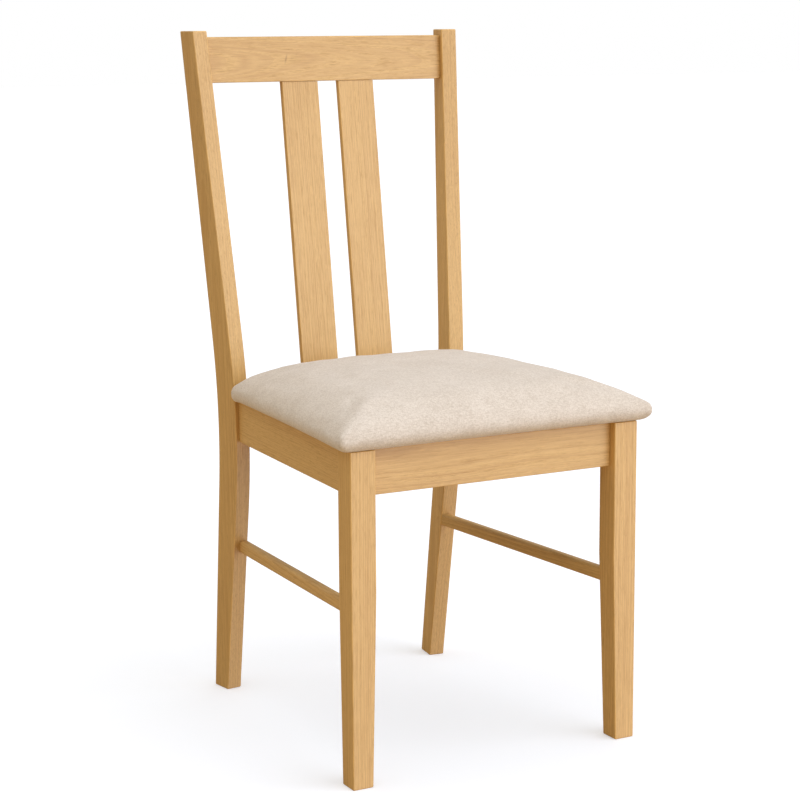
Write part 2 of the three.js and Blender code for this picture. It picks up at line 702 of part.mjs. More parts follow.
// Closed skin over rings of points, with one point more at the bottom and one at the top
function loft(positions, count, rings) {
  const bottom = count * rings;
  const last = count * (rings - 1);
  const index = [];
  for (let i = 0; i < count; i += 1) {
    const next = (i + 1) % count;
    index.push(bottom, next, i, bottom + 1, last + i, last + next);
    for (let start = 0; start < last; start += count) {
      index.push(start + i, start + next, start + count + next);
      index.push(start + i, start + count + next, start + count + i);
    }
  }
  const geometry = new THREE.BufferGeometry();
  geometry.setAttribute('position', new THREE.Float32BufferAttribute(positions, 3));
  geometry.setIndex(index);
  return geometry;
}

function seatCover() {
  const opening = prism(seatOutline(COVER_TURN_UNDER), COVER_BOTTOM - GAP, BOARD_BOTTOM);
  const screws = seatScrewBores(SCREW_RADIUS + GAP, COVER_BOTTOM - GAP, BOARD_BOTTOM);
  return cut(seatForm(0), seatForm(COVER_THICKNESS), opening, screws);
}

function seatBoard() {
  const board = prism(seatOutline(COVER_THICKNESS + 2 * GAP), BOARD_BOTTOM, BOARD_TOP);
  const holeTop = BOARD_BOTTOM + SEAT_SCREW_BITE + HOLE_END;
  return cut(board, seatScrewBores(SCREW_RADIUS + GAP, BOARD_BOTTOM - GAP, holeTop));
}

function seatFoam() {
  const boardRoom = prism(seatOutline(COVER_THICKNESS + GAP), COVER_BOTTOM, BOARD_TOP + GAP);
  const below = prism(seatOutline(-2 * SEAT_BULGE), COVER_BOTTOM, BOARD_TOP - FOAM_SKIRT);
  return cut(seatForm(COVER_THICKNESS + GAP), boardRoom, below);
}

function dustCloth() {
  const top = DUST_CLOTH_BOTTOM + DUST_CLOTH_THICKNESS;
  const cloth = prism(seatOutline(DUST_CLOTH_INSET), DUST_CLOTH_BOTTOM, top);
  return cut(cloth, seatScrewBores(SCREW_RADIUS + GAP, FRAME_TOP, COVER_BOTTOM));
}

function seatScrewBores(radius, bottom, top) {
  const left = ['front', 'rear'].map((end) => seatScrewHole(end, radius, bottom, top));
  return [...left, ...left.map((hole) => mirrored(hole))];
}

// ---------- assembly ----------

const finishes = {
  oak: { color: '#d9b184', roughness: 0.5, metalness: 0 },
  dowel: { color: '#d8b98c', roughness: 0.7, metalness: 0 },
  block: { color: '#cfae80', roughness: 0.7, metalness: 0 },
  plywood: { color: '#cda878', roughness: 0.7, metalness: 0 },
  steel: { color: '#b9b9b4', roughness: 0.35, metalness: 1 },
  fabric: { color: '#ddd3c4', roughness: 0.95, metalness: 0 },
  foam: { color: '#ece4cf', roughness: 0.95, metalness: 0 },
  cloth: { color: '#3a3a3c', roughness: 0.95, metalness: 0 },
};

const chair = new THREE.Group();

// Adds a piece about its own middle, placed by its mesh
function addPiece(name, geometry, finish) {
  geometry.computeBoundingBox();
  const middle = geometry.boundingBox.getCenter(new THREE.Vector3());
  geometry.translate(-middle.x, -middle.y, -middle.z);
  geometry.computeVertexNormals();
  const mesh = new THREE.Mesh(geometry, new THREE.MeshStandardMaterial(finishes[finish]));
  mesh.name = name;
  mesh.position.copy(middle);
  chair.add(mesh);
}

function addPair(name, geometry, finish) {
  addPiece(`${name}_left`, geometry.clone(), finish);
  addPiece(`${name}_right`, mirrored(geometry), finish);
}

// Adds a dowel or screw, made along +Y, at a place and at its mirrored place
function addFastenerPair(name, geometry, places, finish) {
  places.forEach((place, i) => {
    addAimed(`${name}_left_${i + 1}`, geometry, place, finish);
    addAimed(`${name}_right_${i + 1}`, geometry, mirroredPlace(place), finish);
  });
}

function addAimed(name, geometry, place, finish) {
  const mesh = new THREE.Mesh(geometry.clone(), new THREE.MeshStandardMaterial(finishes[finish]));
  mesh.name = name;
  mesh.position.copy(place.at);
  mesh.quaternion.setFromUnitVectors(Y_AXIS, place.along);
  chair.add(mesh);
}

addPair('front_leg', cut(frontLeg, holes('front_rail', 'side_rail_front'),
  stretcherTenon(stretcherTenons[0], GAP, HOLE_END)), 'oak');
addPair('rear_post', cut(rearPost, holes('side_rail_rear', 'rear_rail', 'top_rail'),
  stretcherTenon(stretcherTenons[1], GAP, HOLE_END)), 'oak');
addPiece('front_rail', frontRail(), 'oak');
addPair('side_rail', sideRailLeft, 'oak');
addPiece('rear_rail', rearRail(), 'oak');
addPiece('top_rail', topRail(), 'oak');
addPair('splat', splat(), 'oak');
addPair('stretcher', stretcher(), 'oak');

addPiece('seat_cover', seatCover(), 'fabric');
addPiece('seat_foam', seatFoam(), 'foam');
addPiece('seat_base_board', seatBoard(), 'plywood');
addPiece('seat_dust_cloth', dustCloth(), 'cloth');

for (const end of ['front', 'rear']) {
  addPair(`corner_block_${end}`, cornerBlock(end), 'block');
  const heads = blockScrews(end).map(({ at, along }) => (
    { at: at.clone().addScaledVector(along, -BLOCK_SCREW_HEAD), along }));
  addFastenerPair(`block_screw_${end}`, screwGeometry(BLOCK_SCREW_HEAD + SCREW_BITE), heads, 'steel');
  const seatScrewLength = BOARD_BOTTOM + SEAT_SCREW_BITE - BLOCK_BOTTOM;
  addFastenerPair(`seat_screw_${end}`, screwGeometry(seatScrewLength),
    [{ at: seatScrewPlace(end), along: Z_AXIS }], 'steel');
}

const dowel = new THREE.CylinderGeometry(DOWEL_RADIUS, DOWEL_RADIUS, DOWEL_LENGTH, ROUND_SIDES);
for (const [joint, places] of Object.entries(dowels)) {
  addFastenerPair(`${joint}_dowel`, dowel, places, 'dowel');
}

// The origin is on the floor under the middle of the chair's box
const extent = new THREE.Box3().setFromObject(chair, true);
const middle = extent.getCenter(new THREE.Vector3());
chair.position.set(-middle.x, -middle.y, 0);
const model = new THREE.Group();
model.add(chair);

export default model;
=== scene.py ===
import math

import bmesh
import bpy
import numpy as np
from mathutils import Matrix, Vector


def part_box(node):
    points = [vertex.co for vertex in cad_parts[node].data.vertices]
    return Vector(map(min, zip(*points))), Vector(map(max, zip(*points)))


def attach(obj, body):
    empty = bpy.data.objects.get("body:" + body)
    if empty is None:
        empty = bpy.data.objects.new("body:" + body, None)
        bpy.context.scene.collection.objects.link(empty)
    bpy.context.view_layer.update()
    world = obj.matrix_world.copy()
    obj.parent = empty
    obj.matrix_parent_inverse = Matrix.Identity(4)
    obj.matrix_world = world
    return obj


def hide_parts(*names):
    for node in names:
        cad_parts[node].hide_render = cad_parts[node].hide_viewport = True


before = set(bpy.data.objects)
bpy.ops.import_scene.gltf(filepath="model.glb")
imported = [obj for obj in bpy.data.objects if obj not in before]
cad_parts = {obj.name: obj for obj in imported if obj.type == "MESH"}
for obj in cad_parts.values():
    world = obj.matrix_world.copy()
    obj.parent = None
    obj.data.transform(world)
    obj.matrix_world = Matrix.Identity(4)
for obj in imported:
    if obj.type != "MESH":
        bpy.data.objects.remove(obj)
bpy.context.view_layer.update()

WELD = 1e-5
COPLANAR = math.radians(0.3)
ARRIS_ANGLE = math.radians(35)
ARRIS_FACE = 1e-4  # square metres; smaller faces belong to holes, whose edges stay sharp
ARRIS_LENGTH = 0.05  # of an edge that runs along a rail or splat
ALIGNED = 0.8  # cosine within which an edge runs along its piece
BEVEL_STEPS = 3

UP = Vector((0, 0, 1))
ACROSS = Vector((1, 0, 0))
ALONG = Vector((0, 1, 0))


# ---------- shader helpers ----------


def new_material(name):
    material = bpy.data.materials.new(name)
    material.use_nodes = True
    material.node_tree.nodes.clear()
    return material


def add(tree, kind, inputs=None, **settings):
    """A shader node with its settings, and with values or links on its inputs."""
    made = tree.nodes.new(kind)
    for key, value in settings.items():
        setattr(made, key, value)
    for key, value in (inputs or {}).items():
        if isinstance(value, bpy.types.NodeSocket):
            tree.links.new(value, made.inputs[key])
        else:
            made.inputs[key].default_value = value
    return made


def calc(tree, operation, *values):
    inputs = dict(enumerate(values))
    return add(tree, "ShaderNodeMath", inputs, operation=operation).outputs[0]


def vector_calc(tree, operation, *values):
    made = add(tree, "ShaderNodeVectorMath", dict(enumerate(values)), operation=operation)
    return made.outputs["Value" if operation == "LENGTH" else "Vector"]


def noise(tree, vector, detail=2.0, roughness=0.5):
    inputs = {"Vector": vector, "Scale": 1.0, "Detail": detail, "Roughness": roughness}
    return add(tree, "ShaderNodeTexNoise", inputs)


def stretched_noise(tree, vector, scale, detail=2.0, roughness=0.5):
    """Noise from 0 to 1 with its own number of features a metre on each axis."""
    return noise(tree, vector_calc(tree, "MULTIPLY", vector, scale), detail, roughness).outputs[0]


def ranged(tree, value, low, high, to_low=0.0, to_high=1.0):
    inputs = {0: value, 1: low, 2: high, 3: to_low, 4: to_high}
    return add(tree, "ShaderNodeMapRange", inputs, interpolation_type="SMOOTHSTEP").outputs[0]


def mixed(tree, factor, first, second):
    """Colour mix; a colour is a socket or three numbers."""
    full = lambda c: c if isinstance(c, bpy.types.NodeSocket) else (*c, 1.0)
    inputs = {0: factor, 6: full(first), 7: full(second)}
    return add(tree, "ShaderNodeMix", inputs, data_type="RGBA").outputs[2]


def surface(material, color, roughness, height, depth, **constants):
    """Principled shader with bump; constants go straight on its own sockets."""
    tree = material.node_tree
    bump = add(tree, "ShaderNodeBump", {"Strength": 1.0, "Distance": depth, "Height": height})
    inputs = {"Base Color": color, "Roughness": roughness, "Normal": bump.outputs[0]}
    shader = add(tree, "ShaderNodeBsdfPrincipled", inputs)
    for key, value in constants.items():
        shader.inputs[key.replace("_", " ")].default_value = value
    output = add(tree, "ShaderNodeOutputMaterial")
    tree.links.new(shader.outputs[0], output.inputs[0])
    return material


# ---------- wood ----------

# Features a metre of each pattern: across, across and along the grain.
BENDS = (11, 11, 2.1)
STREAKS = (640, 640, 11)
FIBRES = (1500, 1500, 34)
PATCHES = (14, 14, 3.2)
DASHES = (900, 900, 40)
FINE_PORES = (2300, 2300, 120)
FLECKS = (160, 900, 60)
ARRIS_PATCHES = (60, 60, 24)

RINGS = 380.0  # growth rings in a metre of radius
RING_CHANGES = 430.0  # how often their widths and shades change in a metre
STREAK_SHARE = 0.5  # of each pattern in how dark the wood is
RING_SHARE = 0.62
PATCH_SHARE = 0.42
LATE_SHARE = 0.15
FIBRE_SHARE = 0.30
SHADES = (0.74, 1.40)  # sum of the shares where the wood is lightest and darkest

FINE_PORE_SHARE = 0.7  # of a long pore's darkness
PORE_DARKNESS = 0.38
PORE_ROUGHNESS = 0.14
PORE_DEPTH = -0.8  # against a fibre's height of FIBRE_HEIGHT
FIBRE_HEIGHT = 0.3
RELIEF = 0.00012  # metres
STREAK_ROUGHNESS = 0.12
STREAK_MEAN = 0.05  # roughness that the streaks add on average
FLECK_STRENGTH = 0.16
FLECK_TINT = 1.2
# lighter colour on the rounded arrises: partly wear, partly painted highlight along the edges
WEAR_AND_HIGHLIGHT_STRENGTH = 0.45
WEAR_AND_HIGHLIGHT_TINT = 1.32
WEAR_POLISH = -0.08
COAT_ROUGHNESS = 0.3

MARK_LEAN = -0.3
MARK_HALF_WIDTH = 0.0024
MARK_HALF_HEIGHT = 0.0090
MARK_STRENGTH = 0.45


def tinted(color, factor):
    return [part * factor for part in color]


def dark_mark(tree, places, middle):
    """1 on a small leaning mark around a place in X and Z, 0 away from it."""
    away = vector_calc(tree, "SUBTRACT", places, middle)
    x, _, z = add(tree, "ShaderNodeSeparateXYZ", {0: away}).outputs
    lean = calc(tree, "MULTIPLY_ADD", z, MARK_LEAN, x)
    across = calc(tree, "MULTIPLY", calc(tree, "ABSOLUTE", lean), 1 / MARK_HALF_WIDTH)
    upward = calc(tree, "MULTIPLY", calc(tree, "ABSOLUTE", z), 1 / MARK_HALF_HEIGHT)
    return ranged(tree, calc(tree, "ADD", across, upward), 1.2, 0.2)


def wood(
    name, grain, middle, seed, pith, colors,
    wander=0.006, brightness=1.0, gloss=0.48, coat=0.08, mark=None,
):
    """Solid wood as a block cut from a trunk.

    grain is the trunk's direction, pith the way to its centre, colors its light, dark and pore
    colours, and wander how far the rings bend, in metres.
    """
    # brightness scales all three colours of a piece: partly the piece's own shade of oak, partly
    # painted light and shade for how the lamps light it.
    light, dark, pore = (tinted(color, brightness) for color in colors)
    material = new_material(name)
    tree = material.node_tree
    turn = UP.rotation_difference(grain).to_matrix()
    start = middle - turn @ Vector((pith[0], pith[1], seed))
    places = add(tree, "ShaderNodeTexCoord").outputs["Object"]
    inputs = {"Vector": places, "Location": start, "Rotation": turn.to_euler()}
    local = add(tree, "ShaderNodeMapping", inputs, vector_type="TEXTURE").outputs[0]

    slow = noise(tree, vector_calc(tree, "MULTIPLY", local, BENDS), 2.0, 0.55).outputs[1]
    bent = vector_calc(tree, "MULTIPLY_ADD", slow, (wander * 2, wander * 2, 0), local)
    radius = vector_calc(tree, "LENGTH", vector_calc(tree, "MULTIPLY", bent, (1, 1, 0)))
    inputs = {"W": calc(tree, "MULTIPLY", radius, RING_CHANGES)}
    inputs |= {"Scale": 1.0, "Detail": 2.0, "Roughness": 0.6}
    rings = add(tree, "ShaderNodeTexNoise", inputs, noise_dimensions="1D").outputs[0]
    late = calc(tree, "FRACT", calc(tree, "MULTIPLY_ADD", radius, RINGS, rings))
    streaks = stretched_noise(tree, local, STREAKS, 3.0, 0.65)
    fibres = stretched_noise(tree, local, FIBRES, 2.0, 0.6)
    patches = stretched_noise(tree, local, PATCHES, 2.0, 0.5)
    dashes = ranged(tree, stretched_noise(tree, local, DASHES, 2.0, 0.6), 0.52, 0.68)
    fine = ranged(tree, stretched_noise(tree, local, FINE_PORES, 1.0, 0.5), 0.56, 0.7)
    flecks = ranged(tree, stretched_noise(tree, local, FLECKS, 1.0, 0.5), 0.64, 0.76)
    early = ranged(tree, late, 0.75, 0.1, 0.35, 1.0)
    fine = calc(tree, "MULTIPLY", fine, FINE_PORE_SHARE)
    pores = calc(tree, "MULTIPLY", calc(tree, "MAXIMUM", dashes, fine), early)

    shade = calc(tree, "MULTIPLY", streaks, STREAK_SHARE)
    shares = (rings, RING_SHARE), (patches, PATCH_SHARE), (late, LATE_SHARE), (fibres, FIBRE_SHARE)
    for pattern, share in shares:
        shade = calc(tree, "MULTIPLY_ADD", pattern, share, shade)
    color = mixed(tree, ranged(tree, shade, *SHADES), light, dark)
    color = mixed(tree, calc(tree, "MULTIPLY", pores, PORE_DARKNESS), color, pore)
    strength = calc(tree, "MULTIPLY", flecks, FLECK_STRENGTH)
    color = mixed(tree, strength, color, tinted(light, FLECK_TINT))
    if mark is not None:
        strength = calc(tree, "MULTIPLY", dark_mark(tree, places, mark), MARK_STRENGTH)
        color = mixed(tree, strength, color, pore)
    # Painted highlight: the rounded arrises are lightened in patches, partly as wear and partly as
    # painted highlights along the edges; the same mask also makes them a little smoother.
    arris = add(tree, "ShaderNodeAttribute", attribute_name="arris").outputs["Fac"]
    patchy = ranged(tree, stretched_noise(tree, local, ARRIS_PATCHES, 2.0, 0.5), 0.35, 0.7)
    worn_and_highlit = calc(tree, "MULTIPLY", arris, patchy)
    strength = calc(tree, "MULTIPLY", worn_and_highlit, WEAR_AND_HIGHLIGHT_STRENGTH)
    color = mixed(tree, strength, color, tinted(light, WEAR_AND_HIGHLIGHT_TINT))

    roughness = calc(tree, "MULTIPLY_ADD", streaks, STREAK_ROUGHNESS, gloss - STREAK_MEAN)
    roughness = calc(tree, "MULTIPLY_ADD", pores, PORE_ROUGHNESS, roughness)
    roughness = calc(tree, "MULTIPLY_ADD", worn_and_highlit, WEAR_POLISH, roughness)
    height = calc(tree, "MULTIPLY", fibres, FIBRE_HEIGHT)
    height = calc(tree, "MULTIPLY_ADD", pores, PORE_DEPTH, height)
    constants = {"Coat_Weight": coat, "Coat_Roughness": COAT_ROUGHNESS}
    return surface(material, color, roughness, height, RELIEF, **constants)


# ---------- pieces with rounded arrises ----------


def eased(node, along, width, material):
    """A piece that stands for an oak CAD node: the same form with its arrises rounded."""
    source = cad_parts[node].data
    mesh = bpy.data.meshes.new(node + "_eased")
    faces = [list(p.vertices) for p in source.polygons]
    mesh.from_pydata([v.co for v in source.vertices], [], faces)
    form = bmesh.new()
    form.from_mesh(mesh)
    bmesh.ops.remove_doubles(form, verts=form.verts, dist=WELD)
    bmesh.ops.dissolve_limit(form, angle_limit=COPLANAR, verts=form.verts[:], edges=form.edges[:])
    arris = form.faces.layers.float.new("arris")
    arrises = [e for e in form.edges if is_arris(e, along)]
    rounded = bmesh.ops.bevel(
        form, geom=arrises, offset=width, offset_type="OFFSET", segments=BEVEL_STEPS, profile=0.5,
        affect="EDGES", clamp_overlap=False, loop_slide=True,
    )
    for face in rounded["faces"]:
        face[arris] = 1.0
    for face in form.faces:
        face.smooth = True
    for edge in form.edges:
        edge.smooth = len(edge.link_faces) == 2 and edge.calc_face_angle() < ARRIS_ANGLE
    form.to_mesh(mesh)
    form.free()
    piece = bpy.data.objects.new(node + "_eased", mesh)
    bpy.context.scene.collection.objects.link(piece)
    mesh.materials.append(material)
    normals = piece.modifiers.new("flat_faces", "WEIGHTED_NORMAL")
    normals.keep_sharp = True
    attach(piece, "root")
    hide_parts(node)
    return piece


def is_arris(edge, along):
    if len(edge.link_faces) != 2 or not edge.is_convex or edge.calc_face_angle() < ARRIS_ANGLE:
        return False
    if min(face.calc_area() for face in edge.link_faces) < ARRIS_FACE:
        return False
    if along is None:
        return True
    run = edge.verts[1].co - edge.verts[0].co
    return run.length > ARRIS_LENGTH and abs(run.normalized() @ along) > ALIGNED


def middle_of(node):
    low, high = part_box(node)
    return (low + high) / 2


# ---------- oak frame ----------

OAK = (0.715, 0.452, 0.155), (0.52, 0.288, 0.080), (0.27, 0.125, 0.030)
POST_CANT = 0.0285  # the posts spread this much in their height
TOP_RAIL_TILT = -0.035  # of its grain against its face, which draws arches on it
TOP_RAIL_MARK = Vector((-0.065, 0, 0.910))
FIRST_SEED = 1.7
SEED_STEP = 2.3


def side_run(side):
    """Level direction along one side's rail and stretcher."""
    run = middle_of("rear_post_" + side) - middle_of("front_leg_" + side)
    return Vector((run.x, run.y, 0)).normalized()


def oak_piece(name, grain, along, width, pith, wander, brightness):
    """along: the direction of the arrises that are rounded, or None for all of them."""
    seed = FIRST_SEED + SEED_STEP * len(oak_pieces)
    mark = TOP_RAIL_MARK if name == "top_rail" else None
    finish = wood("oak_" + name, grain, middle_of(name), seed, pith, OAK, wander, brightness, mark=mark)
    oak_pieces.append(eased(name, along, width, finish))


oak_pieces = []
left_run, right_run = side_run("left"), side_run("right")
rake = (middle_of("top_rail") - middle_of("rear_rail")).normalized()
left_post = Vector((-POST_CANT, 0, 1)).normalized()
right_post = Vector((POST_CANT, 0, 1)).normalized()
top_grain = Vector((1, TOP_RAIL_TILT, 0)).normalized()
# The last number on each line lightens or darkens that piece as a whole: partly its own shade of
# oak, partly painted light and shade where the lamps leave it too dark or too light.
oak_piece("front_leg_left", UP, None, 0.0016, (0.07, 0.05), 0.006, 1.01)
oak_piece("front_leg_right", UP, None, 0.0016, (-0.09, 0.04), 0.006, 1.05)
oak_piece("rear_post_left", left_post, None, 0.0016, (0.11, 0.004), 0.004, 0.96)
oak_piece("rear_post_right", right_post, None, 0.0016, (-0.10, 0.005), 0.004, 1.01)
oak_piece("front_rail", ACROSS, ACROSS, 0.0013, (0.012, 0.06), 0.007, 1.0)
oak_piece("rear_rail", ACROSS, ACROSS, 0.0013, (0.01, 0.07), 0.007, 0.98)
oak_piece("top_rail", top_grain, ACROSS, 0.0018, (-0.004, 0.045), 0.008, 0.985)
oak_piece("side_rail_left", left_run, left_run, 0.0013, (0.015, 0.10), 0.005, 1.0)
oak_piece("side_rail_right", right_run, right_run, 0.0013, (0.02, 0.11), 0.005, 0.98)
oak_piece("splat_left", rake, rake, 0.0012, (0.08, 0.03), 0.005, 0.99)
oak_piece("splat_right", rake, rake, 0.0012, (-0.09, 0.04), 0.005, 1.0)
oak_piece("stretcher_left", left_run, left_run, 0.0010, (0.05, 0.04), 0.005, 1.0)
oak_piece("stretcher_right", right_run, right_run, 0.0010, (0.06, 0.05), 0.005, 0.97)


# ---------- hidden woodwork and screws ----------

BEECH = (0.62, 0.42, 0.24), (0.48, 0.29, 0.14), (0.34, 0.18, 0.08)
BLOCK_WOOD = (0.60, 0.40, 0.20), (0.46, 0.27, 0.11), (0.30, 0.16, 0.06)
DOWEL_FINISH = {"gloss": 0.62, "coat": 0.0}
BLOCK_FINISH = {"gloss": 0.6, "coat": 0.0}
DOWEL_PITH = (0.02, 0.03)
BLOCK_PITH = (0.04, 0.05)
STEEL = (0.52, 0.52, 0.50), (0.68, 0.67, 0.62)
BIRCH = (0.62, 0.43, 0.25), (0.47, 0.30, 0.15)
GLUE = (0.2, 0.1, 0.05)
GLUE_STRENGTH = 0.7
PLIES = 9
BLACK_CLOTH = (0.012, 0.012, 0.013), (0.045, 0.045, 0.048)


def finish_node(node, material):
    """Gives a CAD node that stays a material of its own."""
    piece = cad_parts[node]
    if not piece.data.materials:
        piece.data.materials.append(None)
    for slot in piece.material_slots:
        slot.link = "OBJECT"
        slot.material = material


def steel():
    material = new_material("screw_steel")
    tree = material.node_tree
    places = add(tree, "ShaderNodeTexCoord").outputs["Object"]
    cloudy = stretched_noise(tree, places, (220, 220, 220), 3.0, 0.6)
    scratched = stretched_noise(tree, places, (4000, 900, 300), 2.0, 0.6)
    color = mixed(tree, cloudy, *STEEL)
    roughness = calc(tree, "MULTIPLY_ADD", scratched, 0.2, 0.26)
    return surface(material, color, roughness, scratched, 0.00003, Metallic=1.0)


def plywood(node):
    """Birch plywood: veneers stacked in height, crossed grain, darker glue lines."""
    material = new_material("plywood")
    tree = material.node_tree
    low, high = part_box(node)
    places = add(tree, "ShaderNodeTexCoord").outputs["Object"]
    height = add(tree, "ShaderNodeSeparateXYZ", {0: places}).outputs[2]
    above = calc(tree, "SUBTRACT", height, low.z)
    ply = calc(tree, "MULTIPLY", above, PLIES / (high.z - low.z))
    edge = calc(tree, "PINGPONG", ply, 0.5)
    glue = ranged(tree, edge, 0.08, 0.0)
    lengthwise = stretched_noise(tree, places, (14, 420, 420), 3.0, 0.6)
    crosswise = stretched_noise(tree, places, (420, 14, 420), 3.0, 0.6)
    odd = calc(tree, "GREATER_THAN", calc(tree, "MODULO", ply, 2.0), 1.0)
    figure = add(tree, "ShaderNodeMix", {0: odd, 2: lengthwise, 3: crosswise}).outputs[0]
    color = mixed(tree, figure, *BIRCH)
    color = mixed(tree, calc(tree, "MULTIPLY", glue, GLUE_STRENGTH), color, GLUE)
    roughness = calc(tree, "MULTIPLY_ADD", figure, 0.15, 0.6)
    return surface(material, color, roughness, figure, 0.0001)


def dust_cloth():
    """Black non-woven cloth: matted fibres with small pressed dimples."""
    material = new_material("dust_cloth")
    tree = material.node_tree
    places = add(tree, "ShaderNodeTexCoord").outputs["Object"]
    fibres = stretched_noise(tree, places, (900, 500, 900), 3.0, 0.7)
    inputs = {"Vector": places, "Scale": 420.0, "Randomness": 0.35}
    dimples = add(tree, "ShaderNodeTexVoronoi", inputs).outputs["Distance"]
    color = mixed(tree, fibres, *BLACK_CLOTH)
    height = calc(tree, "MULTIPLY_ADD", dimples, 0.6, fibres)
    roughness = calc(tree, "MULTIPLY_ADD", fibres, 0.15, 0.75)
    return surface(material, color, roughness, height, 0.0002, Sheen_Weight=0.3)


def block_wood(node):
    """Grain across the corner that the block fills, and a figure of its own."""
    corner = middle_of(node)
    run = Vector((-corner.y, corner.x, 0)).normalized()
    seed = 2.0 + corner.x * 9 + corner.y * 5
    return wood("block_" + node, run, corner, seed, BLOCK_PITH, BLOCK_WOOD, **BLOCK_FINISH)


screw_steel = steel()
origin = Vector((0, 0, 0))
beech_across = wood("dowels_across", ACROSS, origin, 3.1, DOWEL_PITH, BEECH, **DOWEL_FINISH)
beech_along = wood("dowels_along", ALONG, origin, 5.3, DOWEL_PITH, BEECH, **DOWEL_FINISH)
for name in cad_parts:
    if "screw" in name:
        finish_node(name, screw_steel)
    elif "dowel" in name:
        finish_node(name, beech_along if name.startswith("side") else beech_across)
    elif name.startswith("corner_block"):
        finish_node(name, block_wood(name))
finish_node("seat_base_board", plywood("seat_base_board"))
finish_node("seat_dust_cloth", dust_cloth())


# ---------- seat pad ----------

TAPER = 0.0947  # the sides draw in by this much towards the back
EDGE_HEIGHT = 0.453  # where the pad is widest
ROLL_UNDER = 0.018
REAR_ROLL_UNDER = 0.007  # less, so that the pad reaches back towards the rear rail
REAR_SHARE = (0.9, 0.98)  # of the half depth, over which the one becomes the other
REST_BAND = 0.006  # width of the band that rests on the rails, clear of the dust cloth
REST_GAP = 0.0004
ROLL_SHARE = 0.645  # of the rise, taken by the rolled edge; the crown takes the rest
ROLL_POWER = 3.0
CROWN_POWER = 0.33
CORNER = 0.005
SHRINK = 0.0003  # the form's sides start this much inside the CAD cover
RIM_POINTS = 288
TOP_RINGS = 44
UNDER_RINGS = 10
TINY = 1e-9  # keeps divisions clear of zero

VOXEL = 0.0045
SETTLING_PASSES = 3
HIP_START = 0.008  # above the widest line
HIP_PASSES = 24
SIMULATED_FRAMES = 20
MOST_SWELL = 0.0025
HELD_BELOW = EDGE_HEIGHT + 0.002
CLOTH = {
    "quality": 6,
    "mass": 0.3,
    "tension_stiffness": 25,
    "compression_stiffness": 25,
    "shear_stiffness": 12,
    "bending_stiffness": 4,
    "use_pressure": True,
    "uniform_pressure_force": 4.0,
}
WAVES = 24
WAVE_LENGTHS = (0.035, 0.12)
WAVE_DEPTH = 0.00012
FLAT_FOOT = 0.001  # the lowest part of the pad, which has no waves
WAVES_GROW = 0.01  # height over which they reach their full depth

YARNS = (0.80, 0.725, 0.635), (0.60, 0.52, 0.43)
DARK_SLUB = (0.46, 0.38, 0.29)
PALE_SLUB = (0.90, 0.84, 0.75)
WEAVE_PITCH = 0.0024


def rim_reach(turns, half_wide, half_long):
    """Distance from the middle to a rectangle with small round corners."""
    c, s = np.abs(np.cos(turns)), np.abs(np.sin(turns))
    reach = np.minimum(half_wide / np.maximum(c, TINY), half_long / np.maximum(s, TINY))
    dx, dy = half_wide - CORNER, half_long - CORNER
    rounded = (reach * c > dx) & (reach * s > dy)
    inward = dx * c + dy * s
    arc = inward + np.sqrt(np.maximum(inward**2 - dx**2 - dy**2 + CORNER**2, 0))
    return np.where(rounded, arc, reach)


def pad_form():
    """Crowned closed form in the CAD cover's space: rolled edge, tight corners, flat underside."""
    low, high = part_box("seat_cover")
    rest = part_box("side_rail_left")[1].z + REST_GAP
    centre = (low.y + high.y) / 2
    half_long = (high.y - low.y) / 2 - SHRINK
    half_wide = high.x - SHRINK - TAPER * half_long
    rise = high.z - EDGE_HEIGHT - MOST_SWELL
    turns = np.linspace(-math.pi, math.pi, RIM_POINTS, endpoint=False)
    reach = rim_reach(turns, half_wide, half_long)
    behind = np.interp(reach * np.sin(turns) / half_long, REAR_SHARE, (0, 1))
    under = ROLL_UNDER + (REAR_ROLL_UNDER - ROLL_UNDER) * behind
    rows = []

    def ring(distance, height):
        x, y = distance * np.cos(turns), distance * np.sin(turns)
        rows.append(np.stack([x * (1 - TAPER * y / half_wide), centre + y, height + 0 * x], 1))

    ring(reach - ROLL_UNDER - REST_BAND * 1.5, low.z)
    ring(reach - under - REST_BAND, rest)
    for step in range(UNDER_RINGS, 0, -1):
        turn = math.pi / 2 * step / UNDER_RINGS
        height = EDGE_HEIGHT - (EDGE_HEIGHT - rest) * math.sin(turn)
        ring(reach - under * (1 - math.cos(turn)), height)
    for step in range(TOP_RINGS):
        out = 1 - (step / TOP_RINGS) ** 2
        across = out * reach * np.cos(turns) / half_wide
        along = out * reach * np.sin(turns) / half_long
        spread = np.clip(1 - across**2, 0, 1) * np.clip(1 - along**2, 0, 1)
        roll = math.sqrt(1 - out**ROLL_POWER)
        crown = ROLL_SHARE * roll + (1 - ROLL_SHARE) * spread**CROWN_POWER
        ring(out * reach, EDGE_HEIGHT + rise * crown)
    points = np.concatenate(rows + [np.array([[0, centre, EDGE_HEIGHT + rise]])])

    tip = len(points) - 1
    last = tip - RIM_POINTS
    ahead = [(i + 1) % RIM_POINTS for i in range(RIM_POINTS)]
    faces = [list(range(RIM_POINTS))[::-1]]
    for inner in range(0, last, RIM_POINTS):
        outer = inner + RIM_POINTS
        faces += [[inner + i, inner + j, outer + j, outer + i] for i, j in enumerate(ahead)]
    faces += [[last + i, last + j, tip] for i, j in enumerate(ahead)]
    mesh = bpy.data.meshes.new("seat_pad")
    mesh.from_pydata(points.tolist(), [], faces)
    pad = bpy.data.objects.new("seat_pad", mesh)
    bpy.context.scene.collection.objects.link(pad)
    return pad


def bake_modifiers(piece):
    """Replaces the piece's mesh by what its modifiers make of it."""
    now = bpy.context.evaluated_depsgraph_get()
    made = bpy.data.meshes.new_from_object(piece.evaluated_get(now), depsgraph=now)
    piece.modifiers.clear()
    piece.data = made


